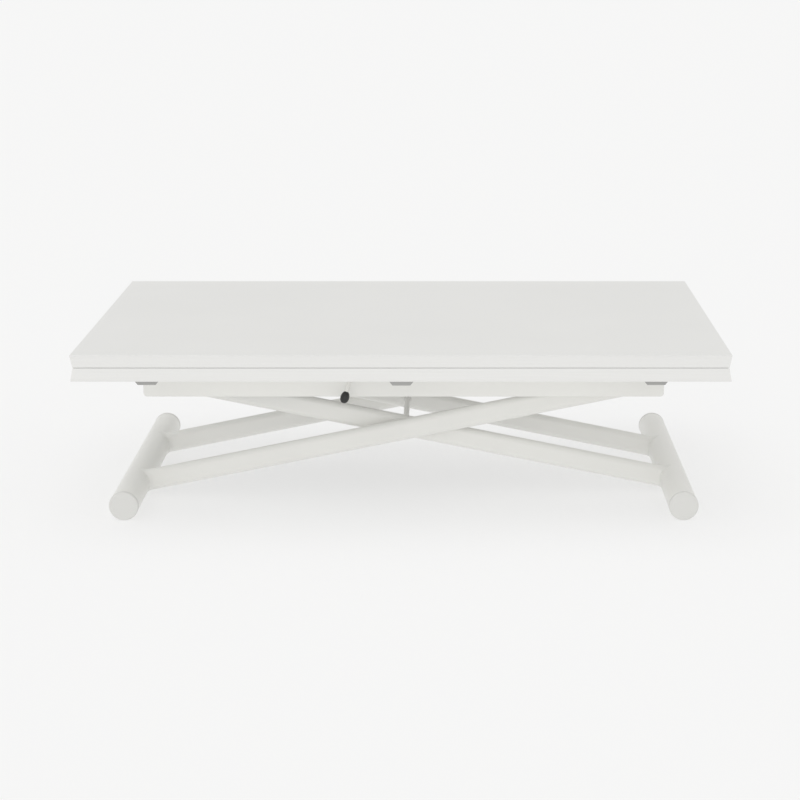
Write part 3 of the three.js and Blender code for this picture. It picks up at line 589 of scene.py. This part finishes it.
shaft_pivot = pivot["release_lever_turn"]
lever_low, lever_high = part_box("release_lever")
knob_low, knob_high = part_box("lever_knob")
knob_middle = (knob_low + knob_high) / 2
LEVER_RADIUS = 4 * MM
BEND_RADIUS = 11 * MM
BEND_STEPS = 10
STUD_SHARE = 0.45  # the knob's stud against the rod
front = lever_low.y + LEVER_RADIUS
corner = Vector((shaft_pivot.x, front, shaft_pivot.z))
arm_way = Vector((knob_middle.x - corner.x, 0, knob_middle.z - corner.z)).normalized()
lever = bmesh.new()
bmesh.ops.create_circle(lever, segments=28, radius=LEVER_RADIUS)
bmesh.ops.transform(lever, verts=lever.verts,
                    matrix=Matrix.Translation((shaft_pivot.x, lever_high.y, shaft_pivot.z))
                    @ Matrix.Rotation(math.pi / 2, 4, "X"))
run = lever_high.y - (front + BEND_RADIUS)
edges = follow(lever, lever.edges[:], lambda co: co - Y * run)
centre = corner + Y * BEND_RADIUS + arm_way * BEND_RADIUS
turn_axis = arm_way.cross(Y).normalized()
spun = (Matrix.Translation(centre) @ Matrix.Rotation(math.pi / 2 / BEND_STEPS, 4, turn_axis)
        @ Matrix.Translation(-centre))
for _ in range(BEND_STEPS):
    edges = follow(lever, edges, lambda co: spun @ co)
reached = corner + arm_way * BEND_RADIUS
for past, shrink in ((-11.4, 1), (-11.0, STUD_SHARE), (-4, 1)):
    mark = knob_middle + arm_way * past * MM
    edges = follow(lever, edges, lambda co: mark + (co - reached) * shrink)
    reached = mark
bmesh.ops.holes_fill(lever, edges=lever.edges[:])
bmesh.ops.recalc_face_normals(lever, faces=lever.faces)
# The lever rod has the frame's white coat painted darker, as painted shade for where it sits
# under the leaf's overhang.
lever_coat_painted_shade = finish("white_lever_coat_painted_shade", (0.725, 0.721, 0.685), (0.71, 0.706, 0.67), 0.42,
                    grain=620, depth=0.03)
add_piece(lever, "lever_rod", "lever", "white_paint", lever_coat_painted_shade, "release_lever")

EGG_RADIUS = 7.9
EGG_HALF_LENGTH = 10.9
EGG_STEPS = 24
SOCKET_RADIUS = 1.95
egg = []
for i in range(EGG_STEPS + 1):
    angle = math.pi * i / EGG_STEPS
    radius = EGG_RADIUS * math.sin(angle) ** 0.86 * (1 + 0.05 * math.cos(angle))
    if angle < math.pi / 2 or radius > SOCKET_RADIUS:
        egg.append((radius, EGG_HALF_LENGTH * math.cos(angle)))
egg += [(SOCKET_RADIUS, -10.7), (SOCKET_RADIUS, -3), (0, -3)]
add_piece(turn(egg, arm_way, knob_middle, steps=40), "egg_knob", "lever", "black_plastic",
          black_moulding, "lever_knob", sharp=60)
add_piece(softened("lever_crank", 0.3), "cable_crank", "lever", "zinc_steel", zinc, "lever_crank")
add_piece(softened("lever_bearing", 0.8), "lever_block", "top_frame", "grey_plastic",
          grey_moulding, "lever_bearing")

WIRE_RADIUS = 0.7 * MM
COIL_RADIUS = 6.2 * MM
COIL_TURNS = 4
COIL_STEPS = 24 * COIL_TURNS
COIL_MARGIN = 0.9 * MM
coil_low, coil_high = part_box("lever_spring")
wire = bmesh.new()
bmesh.ops.create_circle(wire, segments=8, radius=WIRE_RADIUS)
bmesh.ops.transform(wire, verts=wire.verts, matrix=Matrix.Translation(
    (shaft_pivot.x + COIL_RADIUS, coil_low.y + COIL_MARGIN, shaft_pivot.z)))
pitch = (coil_high.y - coil_low.y - 2 * COIL_MARGIN) / COIL_STEPS
bmesh.ops.spin(wire, geom=wire.verts[:] + wire.edges[:], cent=shaft_pivot, axis=-Y,
               dvec=(0, pitch, 0), angle=2 * math.pi * COIL_TURNS, steps=COIL_STEPS)
bmesh.ops.holes_fill(wire, edges=wire.edges[:])
bmesh.ops.recalc_face_normals(wire, faces=wire.faces)
add_piece(wire, "return_spring", "lever", "bright_steel", bright_steel, "lever_spring", sharp=80)

CABLE_RADIUS = 2.5 * MM
CABLE_DROP = 24 * MM
cable_low, cable_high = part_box("release_cable")
head_low, head_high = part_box("release_head")
head_middle = (head_low.x + head_high.x) / 2
crank_low, crank_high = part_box("lever_crank")
sheath_y = (crank_low.y + crank_high.y) / 2
sheath_z = shaft_pivot.z - CABLE_DROP
route = [(cable_low.x, sheath_y, sheath_z), (cable_low.x + 18 * MM, sheath_y, sheath_z),
         (-0.010, -0.100, 0.231), (0.050, -0.090, 0.234), (beam_high.x, -0.066, 0.233),
         (head_middle, -0.040, 0.216), (head_middle, head_low.y - 1 * MM, spring_axis.z)]


def round_tube(name, points, radius):
    """A round tube along a smooth run of points, as a bmesh."""
    curve = bpy.data.curves.new(name, "CURVE")
    curve.dimensions = "3D"
    curve.bevel_depth = radius
    curve.bevel_resolution = 4
    curve.use_fill_caps = True
    spline = curve.splines.new("BEZIER")
    spline.bezier_points.add(len(points) - 1)
    spline.resolution_u = 10
    for point, spot in zip(spline.bezier_points, points):
        point.co = spot
        point.handle_left_type = point.handle_right_type = "AUTO"
    holder = bpy.data.objects.new(name, curve)
    scene.collection.objects.link(holder)
    bpy.context.view_layer.update()
    data = bpy.data.meshes.new_from_object(holder)
    bpy.data.objects.remove(holder)
    bm = bmesh.new()
    bm.from_mesh(data)
    bpy.data.meshes.remove(data)
    bmesh.ops.remove_doubles(bm, verts=bm.verts, dist=0.001 * MM)
    bmesh.ops.recalc_face_normals(bm, faces=bm.faces)
    return bm


add_piece(round_tube("cable", route, CABLE_RADIUS), "cable_sheath", "top_frame",
          "black_plastic", black_moulding, "release_cable", sharp=60)
ferrule_start = Vector(route[0]) - X * 0.2 * MM
ferrule = turn([(0, -2), (1.6, -2), (1.6, 0), (2.2, 0), (2.2, 0.2), (0, 0.2)], X, ferrule_start,
               steps=20)
add_piece(ferrule, "cable_end_cap", "top_frame", "zinc_steel", zinc)


# ------------------------------------------------------------------- bearers and rails
# Grey moulded strips: two bearers across the frame that the opened leaves lie on, and
# three rails fixed under the lower board, hooked over the shoes by a tee slot.

for side in ("left", "right"):
    add_piece(softened("top_bearer_" + side, 0.8), "leaf_bearer_" + side, "top_frame",
              "grey_plastic", grey_moulding, "top_bearer_" + side)
for place in ("left", "centre", "right"):
    add_piece(softened("slide_rail_" + place, 0.5), "top_rail_" + place, "lower_top",
              "grey_plastic", grey_moulding, "slide_rail_" + place)


# ------------------------------------------------------------------------ table boards
# Each leaf is chipboard faced with white melamine and edged to match, cut back towards
# the seam. A fine line near each outer face is where the facing meets the edging.

melamine = finish("white_melamine", (0.782, 0.781, 0.766), (0.769, 0.768, 0.753), 0.42, drift=3,
                  grain=1400, depth=0.012)
edge_tree = melamine.node_tree
edge_place = edge_tree.nodes.new("ShaderNodeTexCoord")
edge_draw = edge_tree.nodes.new("ShaderNodeMapping")
edge_draw.inputs["Scale"].default_value = (8, 8, 800)
join_nodes(edge_tree, edge_place.outputs["Object"], edge_draw.inputs["Vector"])
edge_noise = edge_tree.nodes.new("ShaderNodeTexNoise")
edge_noise.inputs["Scale"].default_value = 1.0
edge_noise.inputs["Detail"].default_value = 2
join_nodes(edge_tree, edge_draw.outputs["Vector"], edge_noise.inputs["Vector"])
edge_axes = edge_tree.nodes.new("ShaderNodeSeparateXYZ")
join_nodes(edge_tree, edge_place.outputs["Normal"], edge_axes.inputs["Vector"])
edge_steep = edge_tree.nodes.new("ShaderNodeMath")
edge_steep.operation = "ABSOLUTE"
join_nodes(edge_tree, edge_axes.outputs["Z"], edge_steep.inputs[0])
edge_side = edge_tree.nodes.new("ShaderNodeMapRange")
edge_side.inputs["From Min"].default_value = 0.6
edge_side.inputs["From Max"].default_value = 0.4
join_nodes(edge_tree, edge_steep.outputs["Value"], edge_side.inputs["Value"])
edge_streak = edge_tree.nodes.new("ShaderNodeMapRange")
edge_streak.inputs["From Min"].default_value = 0.3
edge_streak.inputs["From Max"].default_value = 0.7
join_nodes(edge_tree, edge_noise.outputs["Fac"], edge_streak.inputs["Value"])
edge_amount = edge_tree.nodes.new("ShaderNodeMath")
edge_amount.operation = "MULTIPLY"
join_nodes(edge_tree, edge_side.outputs["Result"], edge_amount.inputs[0])
join_nodes(edge_tree, edge_streak.outputs["Result"], edge_amount.inputs[1])
edge_mix = edge_tree.nodes.new("ShaderNodeMix")
edge_mix.data_type = "RGBA"
edge_mix.inputs["B"].default_value = (0.76, 0.757, 0.742, 1)
join_nodes(edge_tree, edge_amount.outputs["Value"], edge_mix.inputs["Factor"])
join_nodes(edge_tree, edge_tree.nodes["tone"].outputs["Color"], edge_mix.inputs["A"])
join_nodes(edge_tree, edge_mix.outputs["Result"],
           edge_tree.nodes["Principled BSDF"].inputs["Base Color"])


LINE_DEPTH = 2.6 * MM  # below the outer face
LINE_WIDTH = 0.35 * MM


def board(node, name, body, up):
    """A leaf with its facing line cut in and its corners eased. Its outer face is up or down."""
    bm = bmesh.new()
    bm.from_mesh(frame["nodes"][node].data)
    bmesh.ops.remove_doubles(bm, verts=bm.verts, dist=0.01 * MM)
    bmesh.ops.dissolve_limit(bm, angle_limit=math.radians(0.5), verts=bm.verts, edges=bm.edges)
    low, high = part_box(node)
    outer = high.z if up > 0 else low.z
    inner = low.z if up > 0 else high.z
    for level in (outer - up * LINE_DEPTH, outer - up * (LINE_DEPTH + LINE_WIDTH)):
        bmesh.ops.bisect_plane(bm, geom=bm.verts[:] + bm.edges[:] + bm.faces[:],
                               plane_co=(0, 0, level), plane_no=(0, 0, 1))
    middle = outer - up * (LINE_DEPTH + LINE_WIDTH / 2)
    band = [f for f in bm.faces if abs(f.calc_center_median().z - middle) < LINE_WIDTH / 4]
    bmesh.ops.inset_region(bm, faces=band, thickness=0.02 * MM, depth=-0.25 * MM,
                           use_even_offset=True)

    def long_edges(level):
        return [e for e in bm.edges if e.calc_length() > 0.5
                and all(abs(v.co.z - level) < 0.01 * MM for v in e.verts)]

    bmesh.ops.bevel(bm, geom=long_edges(outer), offset=0.9 * MM, offset_type="OFFSET",
                    segments=3, profile=0.5, affect="EDGES", material=-1)
    inner_edges = [e for e in long_edges(inner) if min(v.co.y for v in e.verts) < high.y - 0.05]
    bmesh.ops.bevel(bm, geom=inner_edges, offset=0.5 * MM, offset_type="OFFSET",
                    segments=2, profile=0.5, affect="EDGES", material=-1)
    return add_piece(bm, name, body, "white_board", melamine, node)


board("lower_leaf", "lower_board", "lower_top", -1)
board("upper_leaf", "upper_board", "upper_top", 1)

BUFFER_INSET = 0.04
BUFFER_REAR_INSET = 0.09  # clear of the hinges
leaf_low, leaf_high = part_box("upper_leaf")
buffers = [turn([(0, 0.75), (3.2, 0.75), (3.9, 0.5), (4.2, 0), (0, 0)], -Z, (x, y, leaf_low.z),
                steps=24)
           for x in (leaf_low.x + BUFFER_INSET, leaf_high.x - BUFFER_INSET)
           for y in (leaf_low.y + BUFFER_INSET, leaf_high.y - BUFFER_REAR_INSET)]
add_piece(put_together(*buffers), "leaf_buffers", "upper_top", "white_nylon", nylon)


# -------------------------------------------------------------------------- leaf hinges
# Three zinc-plated butt hinges let into both boards at the rear edge, each leaf held by
# three countersunk screws.

HINGE_FACE = 0.6 * MM  # from the pin's middle to each leaf's face
SCREW_PITCH = 20
for level, body, way in (("lower", "lower_top", 1), ("upper", "upper_top", -1)):
    for place in ("left", "centre", "right"):
        node = f"hinge_{level}_{place}"
        low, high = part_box(node)
        middle = (low.x + high.x) / 2
        line = pivot["leaf_hinge"]
        face = line.z - way * HINGE_FACE
        parts = [softened(node, 0.15, corner=70)]
        for offset in (-SCREW_PITCH, 0, SCREW_PITCH):
            y = low.y + (12 if offset else 8) * MM
            parts.append(turn([(0, -0.7), (1.3, -0.7), (1.6, 0.06), (3.0, 0.06), (3.3, -0.05),
                               (3.3, -0.5), (0, -0.9)], Z * way,
                              (middle + offset * MM, y, face), steps=24))
        add_piece(put_together(*parts), f"butt_hinge_{level}_{place}", body, "zinc_steel", zinc,
                  node)


# ----------------------------------------------------------------- pieces kept from CAD
# The bushes and axles inside the foot bars keep their own shapes and take the finishes.

for node in frame["nodes"].values():
    node.data.materials.clear()
    node.data.materials.append(bright_steel if "axle" in node.name else black_moulding)
